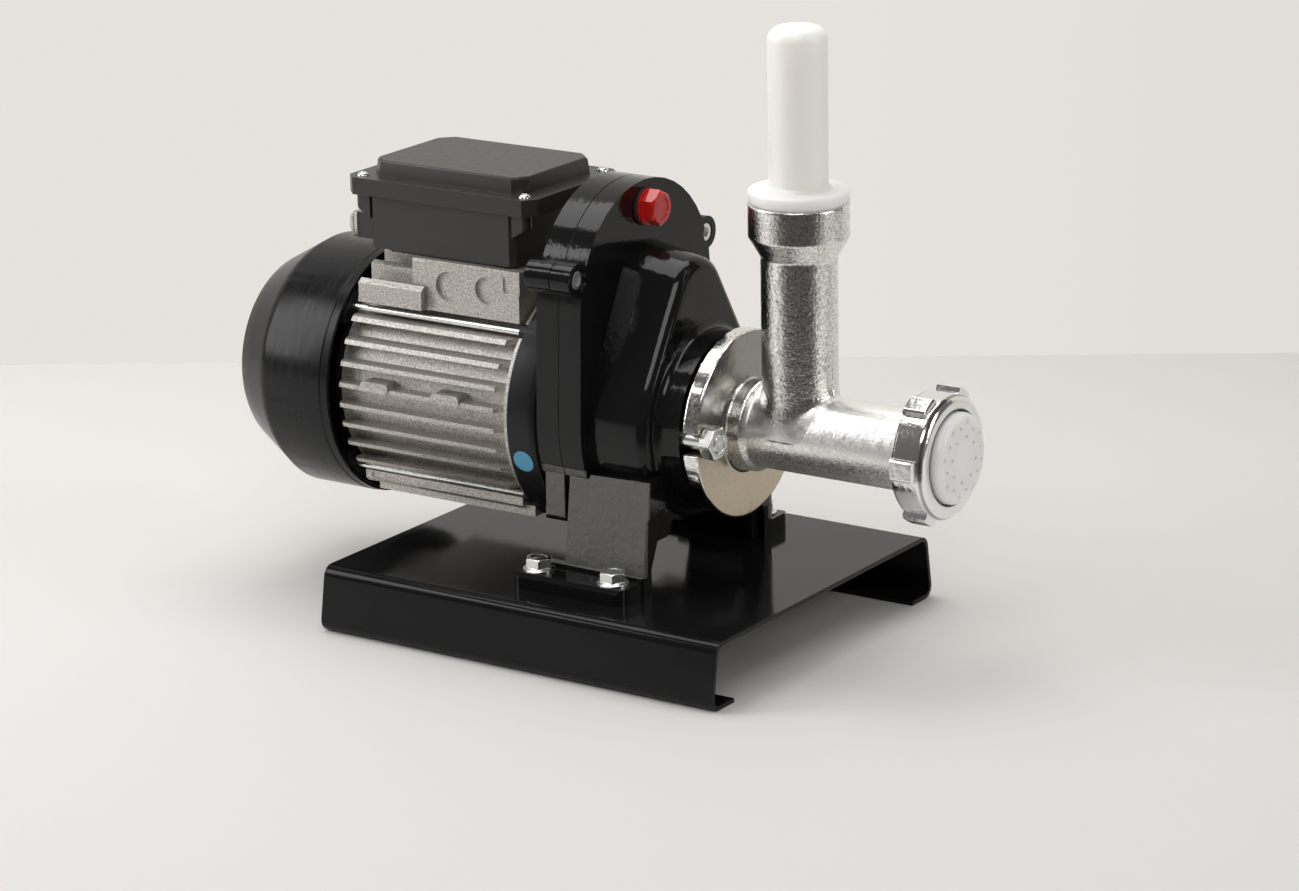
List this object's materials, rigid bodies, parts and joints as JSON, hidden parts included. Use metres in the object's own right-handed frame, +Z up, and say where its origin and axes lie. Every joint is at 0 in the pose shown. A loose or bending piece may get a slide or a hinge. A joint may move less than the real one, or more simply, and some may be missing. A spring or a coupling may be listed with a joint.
{
  "type": "electric pasta maker",
  "caption": "Table-top electric pasta extruder: finned motor and gearbox on a folded base, auger barrel with feed tube and pusher, and a die under a ring nut.",
  "frame": {"origin": "on the ground, under the middle of the machine's length and width", "axes": "+X from the motor to the die along the auger's axis, +Z up"},
  "size_m": [0.4292, 0.2206, 0.3338],
  "materials": {
    "black_paint": "gloss black paint with light orange peel",
    "cast_black": "gloss black paint on an aluminium casting",
    "zinc": "zinc-plated steel",
    "dark_steel": "oiled steel",
    "steel": "ground steel",
    "raw_aluminium": "bead-blasted die casting",
    "bright_casting": "tumbled bright casting",
    "polished_ring": "polished",
    "black_plastic": "fine-grained black plastic",
    "white_plastic": "white food-grade plastic",
    "red_plastic": "glossy red",
    "clear_cover": "translucent soft cover",
    "seal_rubber": "matte",
    "gasket_paper": "matte sheet",
    "laminations": "stacked electrical steel",
    "copper_winding": "varnished copper wire",
    "bronze": "machined bronze",
    "gear_steel": "hobbed steel",
    "capacitor_case": "matte white case"
  },
  "bodies": {
    "machine": {"base_plate": "black_paint", "gearbox_rear_half": "cast_black", "gearbox_front_half": "cast_black", "gearbox_gasket": "gasket_paper", "case_screws": "zinc", "motor_flange_screws": "dark_steel", "oil_plug": "red_plastic", "plug_washer": "seal_rubber", "foot_bolts": "zinc", "foot_nuts": "zinc", "barrel_studs": "zinc", "stud_nuts": "zinc", "motor_front_shield": "cast_black", "motor_frame": "raw_aluminium", "stator_core": "laminations", "stator_windings": "copper_winding", "motor_rear_shield": "raw_aluminium", "tie_rods": "zinc", "fan_cowl": "black_plastic", "box_gasket": "seal_rubber", "terminal_box": "black_plastic", "lid_gasket": "seal_rubber", "terminal_lid": "black_plastic", "lid_screws": "zinc", "run_capacitor": "capacitor_case", "terminal_block": "black_plastic", "switch_body": "black_plastic", "switch_boot": "clear_cover", "gland_body": "black_plastic", "gland_nut": "black_plastic", "gland_seal": "seal_rubber", "motor_bearings": "steel", "countershaft_bearings": "steel", "output_bearings": "steel", "shaft_seals": "seal_rubber", "extruder_barrel": "bright_casting", "thrust_washer": "bronze"},
    "rotor": {"motor_shaft": "steel", "rotor_core": "laminations", "cooling_fan": "black_plastic", "fan_clip": "dark_steel"},
    "layshaft": {"countershaft": "steel", "first_gear": "gear_steel", "first_gear_key": "dark_steel"},
    "drive": {"output_shaft": "steel", "output_gear": "gear_steel", "output_gear_key": "dark_steel", "auger": "bright_casting"},
    "nozzle": {"die": "white_plastic"},
    "nozzle_nut": {"ring_nut": "polished_ring"},
    "plunger": {"pusher": "white_plastic"},
    "switch": {"switch_rocker": "red_plastic"}
  },
  "joints": [
    {"name": "countershaft_spin", "type": "hinge", "parent": "machine", "child": "layshaft", "pos_m": [0.0073, 0, 0.1815], "axis": [1, 0, 0], "continuous": true},
    {"name": "motor_spin", "type": "hinge", "parent": "machine", "child": "rotor", "pos_m": [-0.0247, 0, 0.119], "axis": [1, 0, 0], "continuous": true},
    {"name": "output_spin", "type": "hinge", "parent": "machine", "child": "drive", "pos_m": [0.0563, 0, 0.119], "axis": [1, 0, 0], "continuous": true},
    {"name": "pusher_lift", "type": "slide", "parent": "machine", "child": "plunger", "axis": [0, 0, 1], "range_m": [0, 0.085]},
    {"name": "ring_turn", "type": "hinge", "parent": "nozzle", "child": "nozzle_nut", "pos_m": [0.1899, 0, 0.119], "axis": [1, 0, 0], "range_deg": [0, 1440]},
    {"name": "die_travel", "type": "slide", "parent": "machine", "child": "nozzle", "axis": [1, 0, 0], "range_m": [0, 0.0081]},
    {"name": "rocker_tilt", "type": "hinge", "parent": "machine", "child": "switch", "pos_m": [-0.13995, -0.023, 0.207], "axis": [0, 0, 1], "range_deg": [-14, 0]}
  ],
  "couplings": [
    {"joint": "motor_spin", "follows": "countershaft_spin", "ratio": -6.1429},
    {"joint": "output_spin", "follows": "countershaft_spin", "ratio": -0.28205},
    {"joint": "die_travel", "follows": "ring_turn", "m_per_rad": 0.00031831}
  ]
}
